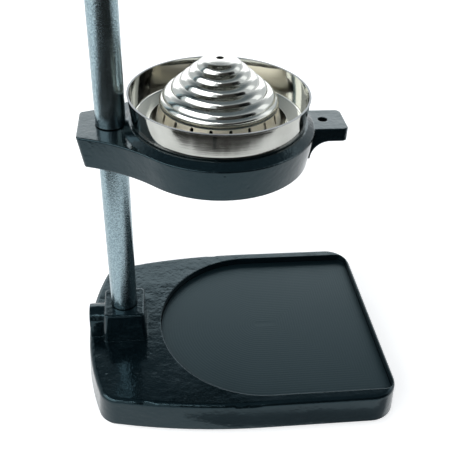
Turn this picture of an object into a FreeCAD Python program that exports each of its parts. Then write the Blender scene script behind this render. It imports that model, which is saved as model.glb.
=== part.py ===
import FreeCAD, Part
import math
import os

# Lever citrus press, in millimetres.
# X runs from the post towards the drilled tab, Z is up, and the object is symmetrical about Y = 0
# apart from the lever. The origin is the middle of the base outline, on the plane of the feet.

V = FreeCAD.Vector
X_DIR = V(1, 0, 0)
Y_DIR = V(0, 1, 0)
Z_DIR = V(0, 0, 1)

# Base
BASE_LENGTH = 233.4
BASE_HALF_WIDTH = 89.0
BASE_TOP = 30.0
BASE_BOTTOM = 5.5
BASE_DRAFT = 1.5
BASE_EDGE_ROUND = 3.5
SIDE_CURVE_RADIUS = 490.0
SIDE_CURVE_START = 13.8
END_CURVE_RADIUS = 210.0
REAR_CORNER = 16.0
FRONT_CORNER = 20.0
CASTING_WALL = 6.0
RIB = 4.0

# Main axes
BASE_REAR_X = -0.5 * BASE_LENGTH
BASE_FRONT_X = 0.5 * BASE_LENGTH
POST_INSET = 29.2
REACH = 71.3
POST_X = BASE_REAR_X + POST_INSET
BOWL_X = POST_X + REACH

# Recess and mat
RECESS_BORDER = 8.4
RECESS_FRONT_BORDER = 2.4
RECESS_FROM_POST = 28.1
RECESS_RADIUS = BASE_HALF_WIDTH - RECESS_BORDER
RECESS_CENTRE_X = POST_X + RECESS_FROM_POST + RECESS_RADIUS
RECESS_FRONT_X = BASE_FRONT_X - RECESS_FRONT_BORDER
RECESS_CORNER = 7.0
MAT_DROP = 5.8
MAT_THICK = 2.5
MAT_GAP = 0.4

# Feet
FOOT_RADIUS = 10.7
FOOT_REAR_INSET = (22.5, 24.5)
FOOT_FRONT_INSET = (15.9, 13.0)
FOOT_BOSS = 12.0
FOOT_SCREW_RADIUS = 2.0

# Post and its socket
POST_RADIUS = 10.0
POST_TOP = 357.0
POST_SHOULDER = 24.0
STUD_RADIUS = 6.0
SOCKET_HEIGHT = 26.0
SOCKET_TOP_SIZE = (31.0, 32.5)
SOCKET_FOOT_SIZE = (35.0, 36.0)
EAR_RADIUS = 10.0
EAR_Z = BASE_TOP + 12.5
EAR_LENGTH = 27.7
EAR_END_X = POST_X - EAR_LENGTH
SET_SCREW_RADIUS = 4.0

# Ring bracket
RING_RISE = 183.6
RING_DEPTH = 22.8
RING_TOP = BASE_TOP + RING_RISE
RING_BOTTOM = RING_TOP - RING_DEPTH
RING_RADIUS = 65.0
RING_DRAFT = 3.5
RING_BORE = 57.0
RING_LIP = 8.0
COLLAR_FOOT = 64.0
COLLAR_TOP = 59.4
COLLAR_RISE = 3.2
FLANK_RADIUS = 110.0
BLOCK_END = 93.0
BLOCK_HALF_WIDTH = 18.5
TAB_END = 86.2
TAB_HALF_WIDTH = 14.5
TAB_THICK = 8.9
TAB_GUSSET = 13.0
TAB_HOLE_X = BOWL_X + 71.1
TAB_HOLE_RADIUS = 3.25

# Funnel bowl
BOWL_RISE = 22.0
BOWL_RIM = RING_TOP + BOWL_RISE
BOWL_RADIUS = 60.0
BOWL_TAPER = 2.2
BOWL_BEND = 2.6
BOWL_FLOOR = 2.4
BOWL_FALL = 1.4
BOWL_WALL = 1.2
NECK_RADIUS = 47.0
NECK_DRAFT = 1.2
LEDGE_DROP = 8.6
LEDGE_INNER = 39.0
SPOUT_RADIUS = 11.0
SPOUT_DROP = 32.6
SPOUT_LENGTH = 11.0

# Strainer cone
CONE_RISE = 44.8
CONE_TOP = RING_TOP + CONE_RISE
CAP_RADIUS = 9.5
CAP_DROP = 0.9
FIRST_STEP = (15.0, 5.4)
STEP_OUT = 5.5
STEP_DOWN = 4.9
STEP_COUNT = 5
STEP_BULGE = 1.1
SHOULDER = (39.0, 30.8)
SKIRT_FLARE = (42.0, 42.4)
CONE_FOOT_RADIUS = 42.8
CONE_WALL = 1.2
CONE_HOLE = 2.5
SLOT_COUNT = 20
SLOT_WIDTH = 2.3
SLOT_LENGTH = 6.2
SLOT_BELOW_SHOULDER = 0.4
SLOT_TURN = 5.6

# Rack, pinion and lever
MODULE = 3.0
PINION_TEETH = 24
PRESSURE_ANGLE = math.radians(20.0)
FLANK_GAP = 0.4
GEAR_WIDTH = 16.0
RACK_PITCH_X = BOWL_X - 8.0
RACK_BACK_X = BOWL_X + 9.0
PITCH_RADIUS = 0.5 * MODULE * PINION_TEETH
PIVOT_X = RACK_PITCH_X - PITCH_RADIUS
PIVOT_Z = 408.0
SHAFT_RADIUS = 8.0
SHAFT_RUN = 0.05
BUSH_RADIUS = 11.0
LEVER_LEAN = 8.0
LEVER_LENGTH = 285.0
LEVER_Y = -34.0
LEVER_ROD = 7.0
GRIP_LENGTH = 112.0
GRIP_RADIUS = 14.0

# Head casting
SLIDE_GAP = 0.4
POCKET_GAP = 1.2
POCKET_HALF = 0.5 * GEAR_WIDTH + 0.6
CHEEK = 7.4
HEAD_WALL = 7.8
CLAMP_RADIUS = 16.0
CLAMP_BOTTOM = 320.0
GUIDE_TOP = PIVOT_Z + 34.0
GUIDE_FRONT_X = BOWL_X + 21.0

# Press bell, drawn with the lever up
TRAVEL = 89.0
BELL_DROP = 93.0
BELL_RIM = PIVOT_Z - BELL_DROP
BELL_RADIUS = 48.0
BELL_HEIGHT = 50.0
BELL_WALL = 3.0
BELL_CROWN = 17.0
BELL_BOSS = 14.0
BELL_ROOF = 5.0
BELL_TOP = BELL_RIM + BELL_HEIGHT
RACK_TOP = GUIDE_TOP + 1.0 + TRAVEL
BELL_STUD = 5.0

os.makedirs("parts", exist_ok=True)


def save(name, shape):
    shape.exportStep("parts/" + name + ".step")


def rod(radius, start, end):
    line = end - start
    return Part.makeCylinder(radius, line.Length, start, line)


def block(x0, x1, y0, y1, z0, z1):
    return Part.makeBox(x1 - x0, y1 - y0, z1 - z0, V(x0, y0, z0))


def turned(points, x):
    """Revolve a closed profile of (radius, height) points about the vertical line at x."""
    corners = [V(x + r, 0, z) for r, z in points]
    face = Part.Face(Part.makePolygon(corners + corners[:1]))
    return face.revolve(V(x, 0, 0), Z_DIR, 360)


def hexagon(flats, start, end):
    """Hexagonal bar, as a nut blank, along the line from start to end."""
    axis = end - start
    side = axis.cross(Z_DIR if abs(axis.z) < 0.9 * axis.Length else X_DIR)
    side.normalize()
    side = side * (flats / math.sqrt(3.0))
    turn = FreeCAD.Rotation(axis, 60)
    corners = [start + side]
    arm = side
    for _ in range(5):
        arm = turn.multVec(arm)
        corners.append(start + arm)
    return Part.Face(Part.makePolygon(corners + corners[:1])).extrude(axis)


def circles_meet(c1, r1, c2, r2):
    """Upper crossing point, in the XY plane, of two circles."""
    line = c2 - c1
    along = (line.Length ** 2 + r1 ** 2 - r2 ** 2) / (2.0 * line.Length)
    across = math.sqrt(r1 ** 2 - along ** 2)
    unit = line * (1.0 / line.Length)
    normal = V(-unit.y, unit.x, 0)
    hits = [c1 + unit * along + normal * (s * across) for s in (1, -1)]
    return max(hits, key=lambda p: p.y)


def arc(a, b, c):
    return Part.Arc(a, b, c).toShape()


def mirror_y(p):
    return V(p.x, -p.y, p.z)


def on_circle(centre, radius, toward):
    line = toward - centre
    return centre + line * (radius / line.Length)


def hull_face(circles, y):
    """Face in the plane y around circles (x, z, radius), given anticlockwise seen from -Y."""
    count = len(circles)
    normals = []
    for i in range(count):
        x0, z0, r0 = circles[i]
        x1, z1, r1 = circles[(i + 1) % count]
        span = math.hypot(x1 - x0, z1 - z0)
        normals.append(math.atan2(z1 - z0, x1 - x0) - math.acos((r0 - r1) / span))
    edges = []
    for i in range(count):
        x, z, r = circles[i]
        start = normals[i - 1]
        end = normals[i]
        while end < start:
            end += 2.0 * math.pi
        spots = [V(x + r * math.cos(a), y, z + r * math.sin(a)) for a in (start, 0.5 * (start + end), end)]
        edges.append(arc(*spots))
    joined = []
    for i in range(count):
        joined.append(edges[i])
        nxt = edges[(i + 1) % count]
        joined.append(Part.makeLine(edges[i].lastVertex().Point, nxt.firstVertex().Point))
    return Part.Face(Part.Wire(joined))


def tapered(low_face, z_low, high_face, z_high):
    """Solid between two outlines of the same make-up, as a casting with draft."""
    wires = []
    for face, z in ((low_face, z_low), (high_face, z_high)):
        wire = face.OuterWire.copy()
        wire.translate(V(0, 0, z - wire.BoundBox.ZMin))
        wires.append(wire)
    return Part.makeLoft(wires, True, True)


def rounded_prism(wire, height, corners):
    """Prism of a wire, with its upright edges rounded: corners maps a test of (x, y) to a radius."""
    solid = Part.Face(wire).extrude(V(0, 0, height))
    for test, radius in corners:
        picked = [e for e in solid.Edges if upright(e) and test(e.Vertexes[0].Point)]
        solid = solid.makeFillet(radius, picked)
    return solid


def upright(edge):
    if len(edge.Vertexes) != 2:
        return False
    a, b = [v.Point for v in edge.Vertexes]
    return abs(a.x - b.x) < 1e-4 and abs(a.y - b.y) < 1e-4


def floor_face(solid):
    return min(solid.Faces, key=lambda f: f.CenterOfMass.z)


def base_face(inset):
    """Outline of the base: straight front end, long sides that draw in to a bowed rear end."""
    end_x = 0.5 * BASE_LENGTH - inset
    half = BASE_HALF_WIDTH - inset
    bow_radius = END_CURVE_RADIUS - inset
    side_radius = SIDE_CURVE_RADIUS - inset
    bow = V(bow_radius - end_x, 0, 0)
    side = V(SIDE_CURVE_START, half - side_radius, 0)
    corner = circles_meet(bow, bow_radius, side, side_radius)
    start = V(SIDE_CURVE_START, half, 0)
    middle = on_circle(side, side_radius, 0.5 * (start + corner))
    front = V(end_x, half, 0)
    edges = [
        arc(mirror_y(corner), V(-end_x, 0, 0), corner),
        arc(corner, middle, start),
        Part.makeLine(start, front),
        Part.makeLine(front, mirror_y(front)),
        Part.makeLine(mirror_y(front), mirror_y(start)),
        arc(mirror_y(start), mirror_y(middle), mirror_y(corner)),
    ]
    rear = (lambda p: p.x < SIDE_CURVE_START - 1, REAR_CORNER - inset)
    ahead = (lambda p: p.x > end_x - 1, FRONT_CORNER - inset)
    return floor_face(rounded_prism(Part.Wire(edges), 10.0, [rear, ahead]))


def recess_face(inset):
    """D outline of the recess: half round towards the post, straight across the front."""
    radius = RECESS_RADIUS - inset
    c = RECESS_CENTRE_X
    front = RECESS_FRONT_X - inset
    wire = Part.Wire([
        arc(V(c, radius, 0), V(c - radius, 0, 0), V(c, -radius, 0)),
        Part.makeLine(V(c, -radius, 0), V(front, -radius, 0)),
        Part.makeLine(V(front, -radius, 0), V(front, radius, 0)),
        Part.makeLine(V(front, radius, 0), V(c, radius, 0)),
    ])
    return floor_face(rounded_prism(wire, 10.0, [(lambda p: p.x > front - 1, RECESS_CORNER - inset)]))


def prism(face, z0, z1):
    low = face.copy()
    low.translate(V(0, 0, z0 - low.BoundBox.ZMin))
    return low.extrude(V(0, 0, z1 - z0))


def foot_places():
    rear = (BASE_REAR_X + FOOT_REAR_INSET[0], BASE_HALF_WIDTH - FOOT_REAR_INSET[1])
    front = (BASE_FRONT_X - FOOT_FRONT_INSET[0], BASE_HALF_WIDTH - FOOT_FRONT_INSET[1])
    return [(x, s * y) for x, y in (rear, front) for s in (-1, 1)]


# Base casting: enamelled iron, recessed top, ribbed hollow underside, socket block for the post
recess_floor = BASE_TOP - MAT_DROP - MAT_THICK
deck_under = recess_floor - CASTING_WALL + 1.0
rear_under = BASE_TOP - CASTING_WALL - 1.0
body = tapered(base_face(-BASE_DRAFT), BASE_BOTTOM, base_face(0), BASE_TOP)
rim = [e for e in body.Edges if e.BoundBox.ZMin > BASE_TOP - 0.01]
body = body.makeFillet(BASE_EDGE_ROUND, rim)
inner = base_face(CASTING_WALL)
hollow = prism(inner, BASE_BOTTOM - 1, deck_under)
rear_room = prism(inner, BASE_BOTTOM - 1, rear_under)
rear_room = rear_room.cut(prism(recess_face(-CASTING_WALL), 0, BASE_TOP))
hollow = hollow.fuse(rear_room)
rib_low = BASE_BOTTOM + 2.5
rib_y = 0.43 * BASE_HALF_WIDTH
ribs = [block(-BASE_LENGTH, BASE_LENGTH, s * rib_y - RIB / 2, s * rib_y + RIB / 2, rib_low, rear_under)
        for s in (-1, 1)]
first_rib = POST_X + POST_INSET
for i in range(3):
    rib_x = first_rib + i * (RECESS_FRONT_X - first_rib) / 3.0
    ribs.append(block(rib_x - RIB / 2, rib_x + RIB / 2, -BASE_LENGTH, BASE_LENGTH, rib_low, rear_under))
for foot_x, foot_y in foot_places():
    ribs.append(rod(FOOT_BOSS, V(foot_x, foot_y, BASE_BOTTOM), V(foot_x, foot_y, rear_under)))
post_pad = POST_SHOULDER - 7.0
ribs.append(rod(POST_RADIUS + 12, V(POST_X, 0, post_pad), V(POST_X, 0, BASE_TOP)))
for rib in ribs:
    hollow = hollow.cut(rib)
body = body.cut(hollow)
body = body.cut(prism(recess_face(0), recess_floor, BASE_TOP + 10))
socket_top = BASE_TOP + SOCKET_HEIGHT


def socket_wire(size, z):
    dx, dy = size
    x0 = POST_X - dx / 2
    box = block(x0, x0 + dx, -dy / 2, dy / 2, 0, 5)
    box = box.makeFillet(3.0, [e for e in box.Edges if upright(e)])
    wire = floor_face(box).OuterWire
    wire.translate(V(0, 0, z))
    return wire


socket_low = BASE_TOP - 2.0
socket = Part.makeLoft([socket_wire(SOCKET_FOOT_SIZE, socket_low), socket_wire(SOCKET_TOP_SIZE, socket_top)],
                       True, True)
socket = socket.makeFillet(1.5, [e for e in socket.Edges if e.BoundBox.ZMin > socket_top - 0.01])
ear = rod(EAR_RADIUS, V(EAR_END_X, 0, EAR_Z), V(POST_X, 0, EAR_Z))
skirt_points = [V(EAR_END_X, y, z) for y, z in (
    (-EAR_RADIUS, EAR_Z), (-EAR_RADIUS - BASE_DRAFT, socket_low), (EAR_RADIUS + BASE_DRAFT, socket_low),
    (EAR_RADIUS, EAR_Z))]
skirt = Part.Face(Part.makePolygon(skirt_points + skirt_points[:1])).extrude(V(POST_X - EAR_END_X, 0, 0))
ear = ear.common(block(EAR_END_X, POST_X, -20, 20, socket_low, 100)).fuse(skirt)
body = body.fuse([socket, ear]).removeSplitter()
body = body.cut(rod(POST_RADIUS, V(POST_X, 0, POST_SHOULDER), V(POST_X, 0, 100)))
body = body.cut(rod(STUD_RADIUS + 0.3, V(POST_X, 0, 0), V(POST_X, 0, 100)))
body = body.cut(rod(SET_SCREW_RADIUS, V(EAR_END_X - 5, 0, EAR_Z), V(POST_X, 0, EAR_Z)))
foot_screw_top = BASE_BOTTOM + 9.0
for foot_x, foot_y in foot_places():
    body = body.cut(rod(FOOT_SCREW_RADIUS, V(foot_x, foot_y, 0), V(foot_x, foot_y, foot_screw_top)))
save("base_casting", body)

# Drip mat: moulded black mat lying in the recess
save("drip_mat", prism(recess_face(MAT_GAP), recess_floor, recess_floor + MAT_THICK))

# Feet: turned rubber pads with the screw head sunk in a counterbore, and their four screws
screw_head = FOOT_SCREW_RADIUS + 2.0
head_low = 1.6
head_high = head_low + 2.2
screws = []
for name, (foot_x, foot_y) in zip(("rear_near", "rear_far", "front_near", "front_far"), foot_places()):
    pad = Part.makeCone(FOOT_RADIUS - 0.7, FOOT_RADIUS, BASE_BOTTOM, V(foot_x, foot_y, 0))
    pad = pad.makeChamfer(0.8, [e for e in pad.Edges if e.BoundBox.ZMax < 0.01])
    pad = pad.cut(rod(screw_head, V(foot_x, foot_y, -1), V(foot_x, foot_y, head_high)))
    pad = pad.cut(rod(FOOT_SCREW_RADIUS, V(foot_x, foot_y, 0), V(foot_x, foot_y, foot_screw_top)))
    save("foot_" + name, pad)
    screw = rod(screw_head, V(foot_x, foot_y, head_low), V(foot_x, foot_y, head_high))
    screw = screw.makeChamfer(0.7, [e for e in screw.Edges if e.BoundBox.ZMax < head_low + 0.01])
    shank = rod(FOOT_SCREW_RADIUS, V(foot_x, foot_y, head_low + 0.5), V(foot_x, foot_y, foot_screw_top))
    screws.append(screw.fuse(shank).removeSplitter())
save("foot_screws", Part.makeCompound(screws))

# Post: ground steel bar with a reduced stud at its foot, held by a washer and a thin nut
washer_low = post_pad - 2.5
nut_low = washer_low - 6.0
post = rod(POST_RADIUS, V(POST_X, 0, POST_SHOULDER), V(POST_X, 0, POST_TOP))
post = post.makeChamfer(1.2, [e for e in post.Edges if e.BoundBox.ZMin > POST_TOP - 0.01])
post = post.fuse(rod(STUD_RADIUS, V(POST_X, 0, nut_low - 1.5), V(POST_X, 0, POST_SHOULDER + 1)))
save("post", post.removeSplitter())
stud_bore = rod(STUD_RADIUS, V(POST_X, 0, 0), V(POST_X, 0, 40))
washer = rod(2 * STUD_RADIUS, V(POST_X, 0, washer_low), V(POST_X, 0, post_pad))
save("post_washer", washer.cut(stud_bore))
nut = hexagon(18.0, V(POST_X, 0, nut_low), V(POST_X, 0, washer_low))
save("post_nut", nut.cut(stud_bore))


def set_screw(x0, z):
    """Socket set screw along X, from its open end at x0 to the face of the post."""
    tip = V(POST_X - POST_RADIUS, 0, z)
    screw = rod(SET_SCREW_RADIUS, V(x0, 0, z), tip + V(2, 0, 0))
    screw = screw.cut(rod(POST_RADIUS, V(POST_X, 0, z - 20), V(POST_X, 0, z + 20)))
    return screw.cut(hexagon(4.0, V(x0 - 1, 0, z), V(x0 + 4, 0, z)))


save("socket_set_screw", set_screw(EAR_END_X + 1.0, EAR_Z))

# Ring bracket: casting clamped on the post, with flanks that sweep into the bowl ring and a drilled tab
bowl_axis = V(BOWL_X, 0, 0)


def bracket_face(inset):
    """Plan of the bracket: square rear end, hollow flanks, round ring."""
    ring_radius = RING_RADIUS - inset
    flank_radius = FLANK_RADIUS + inset
    rear = V(BOWL_X - BLOCK_END + inset, BLOCK_HALF_WIDTH, 0)
    full = V(BOWL_X - BLOCK_END, BLOCK_HALF_WIDTH, 0)
    centre = circles_meet(full, FLANK_RADIUS, bowl_axis, RING_RADIUS + FLANK_RADIUS)
    rear.y = centre.y - math.sqrt(flank_radius ** 2 - (rear.x - centre.x) ** 2)
    sweep = on_circle(bowl_axis, ring_radius, centre)
    middle = on_circle(centre, flank_radius, 0.5 * (rear + sweep))
    wire = Part.Wire([
        Part.makeLine(mirror_y(rear), rear),
        arc(rear, middle, sweep),
        arc(sweep, V(BOWL_X + ring_radius, 0, 0), mirror_y(sweep)),
        arc(mirror_y(sweep), mirror_y(middle), mirror_y(rear)),
    ])
    return floor_face(rounded_prism(wire, 10.0, [(lambda p: p.x < rear.x + 1, 3.0)]))


bracket = tapered(bracket_face(RING_DRAFT), RING_BOTTOM, bracket_face(0), RING_TOP)
tab_low = RING_TOP - TAB_THICK
tab_end_x = BOWL_X + TAB_END
wall_x = BOWL_X + RING_RADIUS - RING_DRAFT
gusset_x = wall_x + TAB_GUSSET
bend = TAB_GUSSET * (1 - math.sqrt(0.5))
side_view = Part.Wire([
    Part.makeLine(V(wall_x - 6, 0, RING_TOP), V(tab_end_x, 0, RING_TOP)),
    Part.makeLine(V(tab_end_x, 0, RING_TOP), V(tab_end_x, 0, tab_low)),
    Part.makeLine(V(tab_end_x, 0, tab_low), V(gusset_x, 0, tab_low)),
    arc(V(gusset_x, 0, tab_low), V(wall_x + bend, 0, tab_low - bend), V(wall_x, 0, tab_low - TAB_GUSSET)),
    Part.makeLine(V(wall_x, 0, tab_low - TAB_GUSSET), V(wall_x - 6, 0, tab_low - TAB_GUSSET)),
    Part.makeLine(V(wall_x - 6, 0, tab_low - TAB_GUSSET), V(wall_x - 6, 0, RING_TOP)),
])
tab = Part.Face(side_view).extrude(V(0, 2 * TAB_HALF_WIDTH, 0))
tab.translate(V(0, -TAB_HALF_WIDTH, 0))
tab = tab.makeFillet(4.0, [e for e in tab.Edges if upright(e) and e.Vertexes[0].Point.x > tab_end_x - 1])
bracket = bracket.fuse(tab).removeSplitter()
bracket = bracket.makeFillet(0.8, [e for e in bracket.Edges if e.BoundBox.ZMin > RING_TOP - 0.01])


def bowl_profile():
    """Outer (radius, height) points of the bowl, from the rim down to the end of the spout."""
    ledge = RING_TOP - LEDGE_DROP
    spout_top = RING_TOP - SPOUT_DROP
    floor = RING_TOP + BOWL_FLOOR
    return [(BOWL_RADIUS, BOWL_RIM), (BOWL_RADIUS - BOWL_TAPER, floor), (NECK_RADIUS, floor - BOWL_FALL),
            (NECK_RADIUS - NECK_DRAFT, ledge), (LEDGE_INNER, ledge), (SPOUT_RADIUS, spout_top),
            (SPOUT_RADIUS, spout_top - SPOUT_LENGTH)]


def bowl_inside():
    """The same points moved in by the wall, each along the bisector of its two sides."""
    points = bowl_profile()
    slopes = [math.atan2(b[1] - a[1], b[0] - a[0]) for a, b in zip(points[:-1], points[1:])]
    inside = []
    for i, (r, z) in enumerate(points):
        before = slopes[max(i - 1, 0)]
        after = slopes[min(i, len(slopes) - 1)]
        bisector = 0.5 * (before + after)
        reach = BOWL_WALL / math.cos(0.5 * (after - before))
        inside.append((r + reach * math.sin(bisector), z - reach * math.cos(bisector)))
    inside[0] = (inside[0][0], BOWL_RIM + 1)
    inside[-1] = (inside[-1][0], points[-1][1] - 1)
    return inside


def bowl_solid(points, bend):
    """Turned solid of a bowl profile, its wall brought into its floor by a bend."""
    solid = turned([(0, points[0][1])] + points + [(0, points[-1][1])], BOWL_X)
    corner_z = points[1][1]
    corner = [e for e in solid.Edges if abs(e.BoundBox.ZMin - corner_z) < 0.01
              and abs(e.BoundBox.ZMax - corner_z) < 0.01]
    return solid.makeFillet(bend, corner)


bowl_plug = bowl_solid(bowl_profile(), BOWL_BEND)
bore = rod(RING_BORE, V(BOWL_X, 0, RING_BOTTOM - 1), V(BOWL_X, 0, RING_TOP - RING_LIP))
collar = Part.makeCone(COLLAR_FOOT, COLLAR_TOP, COLLAR_RISE, V(BOWL_X, 0, RING_TOP))
bracket = bracket.fuse(collar).removeSplitter().cut(bore).cut(bowl_plug)
bracket = bracket.cut(rod(POST_RADIUS, V(POST_X, 0, RING_BOTTOM - 1), V(POST_X, 0, RING_TOP + 1)))
bracket = bracket.cut(rod(TAB_HOLE_RADIUS, V(TAB_HOLE_X, 0, tab_low - 1), V(TAB_HOLE_X, 0, RING_TOP + 1)))
bracket_screw_z = 0.5 * (RING_TOP + RING_BOTTOM)
bracket = bracket.cut(rod(SET_SCREW_RADIUS, V(BOWL_X - BLOCK_END - 5, 0, bracket_screw_z),
                          V(POST_X, 0, bracket_screw_z)))
save("ring_bracket", bracket)
save("bracket_set_screw", set_screw(BOWL_X - BLOCK_END + 3.0, bracket_screw_z))

# Funnel bowl: spun sheet bowl with a neck that drops in the ring, a ledge and a short spout
save("funnel_bowl", bowl_plug.cut(bowl_solid(bowl_inside(), BOWL_BEND - BOWL_WALL)))

# Strainer cone: spun stepped cone with a pierced skirt standing on the bowl's ledge
steps = [(FIRST_STEP[0] + i * STEP_OUT, CONE_TOP - FIRST_STEP[1] - i * STEP_DOWN) for i in range(STEP_COUNT)]
shoulder = (SHOULDER[0], CONE_TOP - SHOULDER[1])
flare = (SKIRT_FLARE[0], CONE_TOP - SKIRT_FLARE[1])
seat_z = bowl_inside()[4][1]


def bulged(a, b):
    """Convex arc between two (radius, height) points of a turned profile."""
    mid = V(0.5 * (a[0] + b[0]), 0, 0.5 * (a[1] + b[1]))
    out = V(a[1] - b[1], 0, b[0] - a[0])
    out.normalize()
    return arc(V(a[0], 0, a[1]), mid + out * STEP_BULGE, V(b[0], 0, b[1]))


cap = (CAP_RADIUS, CONE_TOP - CAP_DROP)
skin = [arc(V(0, 0, CONE_TOP), V(0.55 * CAP_RADIUS, 0, CONE_TOP - 0.3 * CAP_DROP), V(cap[0], 0, cap[1]))]
ladder = [cap] + steps + [shoulder]
for upper, lower in zip(ladder[:-1], ladder[1:]):
    skin.append(bulged(upper, lower))
outer_points = [shoulder, flare, (CONE_FOOT_RADIUS, seat_z)]
inner_points = [(CONE_FOOT_RADIUS - CONE_WALL, seat_z), (flare[0] - CONE_WALL, flare[1])]
inner_points += [(r - 1.2 * CONE_WALL, z - 0.6 * CONE_WALL) for r, z in (shoulder, steps[-1], steps[0], cap)]
inner_points.append((0, CONE_TOP - 2 * CONE_WALL))
path = [V(r, 0, z) for r, z in outer_points + inner_points + [(0, CONE_TOP)]]
cone_wire = Part.Wire(skin + [Part.makeLine(a, b) for a, b in zip(path[:-1], path[1:])])
cone = Part.Face(cone_wire).revolve(V(0, 0, 0), Z_DIR, 360)
slot_mid = shoulder[1] - SLOT_BELOW_SHOULDER - 0.5 * SLOT_LENGTH
half = 0.5 * (SLOT_LENGTH - SLOT_WIDTH)
cutter = block(0, 60, -SLOT_WIDTH / 2, SLOT_WIDTH / 2, slot_mid - half, slot_mid + half)
for end in (-half, half):
    cutter = cutter.fuse(rod(SLOT_WIDTH / 2, V(0, 0, slot_mid + end), V(60, 0, slot_mid + end)))
cutter = cutter.cut(rod(SHOULDER[0] - 4, V(0, 0, 100), V(0, 0, 300)))
slots = []
for i in range(SLOT_COUNT):
    slot = cutter.copy()
    slot.rotate(V(0, 0, 0), Z_DIR, SLOT_TURN + i * 360.0 / SLOT_COUNT)
    slots.append(slot)
cone = cone.cut(slots).cut(rod(CONE_HOLE, V(0, 0, 200), V(0, 0, 300)))
cone.translate(bowl_axis)
save("strainer_cone", cone)

# Head casting: socket over the post, pinion pocket and rack channel, closed on the far side by a cover
tip_radius = PITCH_RADIUS + MODULE
pocket_radius = tip_radius + POCKET_GAP
guide_round = 11.0
guide_mid_x = GUIDE_FRONT_X - guide_round
head_circles = [
    (POST_X, PIVOT_Z - 30.0, CLAMP_RADIUS),
    (PIVOT_X, PIVOT_Z, pocket_radius + HEAD_WALL),
    (guide_mid_x, PIVOT_Z - 22.0, guide_round),
    (guide_mid_x, PIVOT_Z + 23.0, guide_round),
    (PIVOT_X, PIVOT_Z, pocket_radius + HEAD_WALL),
]
head = hull_face(head_circles, -POCKET_HALF - CHEEK).extrude(V(0, 2 * POCKET_HALF + CHEEK, 0))
head = head.makeFillet(2.0, [e for e in head.Edges if e.BoundBox.YMax < -POCKET_HALF - CHEEK + 0.01])
head = head.fuse(rod(CLAMP_RADIUS, V(POST_X, 0, CLAMP_BOTTOM), V(POST_X, 0, PIVOT_Z - 30.0)))
head = head.removeSplitter()
guide_flat = block(BOWL_X - 19, GUIDE_FRONT_X + 5, -30, 30, GUIDE_TOP, GUIDE_TOP + 30)
cover = hull_face(head_circles[1:4], POCKET_HALF).extrude(V(0, CHEEK, 0))
head = head.cut([guide_flat, cover])
channel = block(RACK_PITCH_X - MODULE - SLIDE_GAP, RACK_BACK_X + SLIDE_GAP, -POCKET_HALF, POCKET_HALF + 1,
                CLAMP_BOTTOM, GUIDE_TOP + 10)
pocket = rod(pocket_radius, V(PIVOT_X, -POCKET_HALF, PIVOT_Z), V(PIVOT_X, POCKET_HALF + 1, PIVOT_Z))
head = head.cut(channel).cut(pocket)
head = head.cut(rod(POST_RADIUS, V(POST_X, 0, CLAMP_BOTTOM - 1), V(POST_X, 0, POST_TOP)))
bush_seat = rod(BUSH_RADIUS, V(PIVOT_X, -40, PIVOT_Z), V(PIVOT_X, 40, PIVOT_Z))
head = head.cut(bush_seat)
head_screw_heights = (CLAMP_BOTTOM + 10.0, CLAMP_BOTTOM + 27.0)
for z in head_screw_heights:
    head = head.cut(rod(SET_SCREW_RADIUS, V(POST_X - 40, 0, z), V(POST_X, 0, z)))
cover_screw_spots = [
    (PIVOT_X - 0.707 * (pocket_radius + 3.9), PIVOT_Z + 0.707 * (pocket_radius + 3.9)),
    (PIVOT_X - 0.6 * (pocket_radius + 3.9), PIVOT_Z - 0.8 * (pocket_radius + 3.9)),
    (guide_mid_x + 4.5, PIVOT_Z + 25.0),
    (guide_mid_x + 4.5, PIVOT_Z - 24.0),
]
cover_screw_radius = 2.0
for x, z in cover_screw_spots:
    head = head.cut(rod(cover_screw_radius, V(x, -4, z), V(x, 30, z)))
save("head_casting", head)

# Head cover: machined plate on the far side of the head, with its screws
cover = cover.cut(guide_flat)
cover = cover.makeFillet(1.2, [e for e in cover.Edges if e.BoundBox.YMin > POCKET_HALF + CHEEK - 0.01])
cover = cover.cut(bush_seat)
cover_face = POCKET_HALF + CHEEK
screws = []
for x, z in cover_screw_spots:
    cover = cover.cut(rod(cover_screw_radius, V(x, 0, z), V(x, 30, z)))
    shank = rod(cover_screw_radius, V(x, -4, z), V(x, cover_face + 1, z))
    cap_head = rod(3.5, V(x, cover_face, z), V(x, cover_face + 4, z))
    cap_head = cap_head.cut(hexagon(3.0, V(x, cover_face + 2, z), V(x, cover_face + 5, z)))
    screws.append(shank.fuse(cap_head).removeSplitter())
save("head_cover", cover)
save("cover_screws", Part.makeCompound(screws))
save("head_set_screws", Part.makeCompound([set_screw(POST_X - CLAMP_RADIUS + 1.0, z)
                                           for z in head_screw_heights]))

# Shaft bushes: bronze, pressed in the cheek and in the cover
running_bore = rod(SHAFT_RADIUS + SHAFT_RUN, V(PIVOT_X, -40, PIVOT_Z), V(PIVOT_X, 40, PIVOT_Z))
for name, y0, y1 in (("near", -cover_face, -POCKET_HALF), ("far", POCKET_HALF, cover_face)):
    bush = rod(BUSH_RADIUS, V(PIVOT_X, y0, PIVOT_Z), V(PIVOT_X, y1, PIVOT_Z))
    save("shaft_bush_" + name, bush.cut(running_bore))


def involute_edge(base_radius, start_radius, end_radius, offset, flip):
    """One flank of a gear tooth, an arc through three points of the involute, in the XZ plane."""
    points = []
    for r in (start_radius, 0.5 * (start_radius + end_radius), end_radius):
        roll = math.sqrt(max(0.0, (r / base_radius) ** 2 - 1.0))
        angle = flip * (offset - (roll - math.atan(roll)))
        points.append(V(r * math.cos(angle), 0, r * math.sin(angle)))
    return arc(*points), points[0], points[-1]


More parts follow.
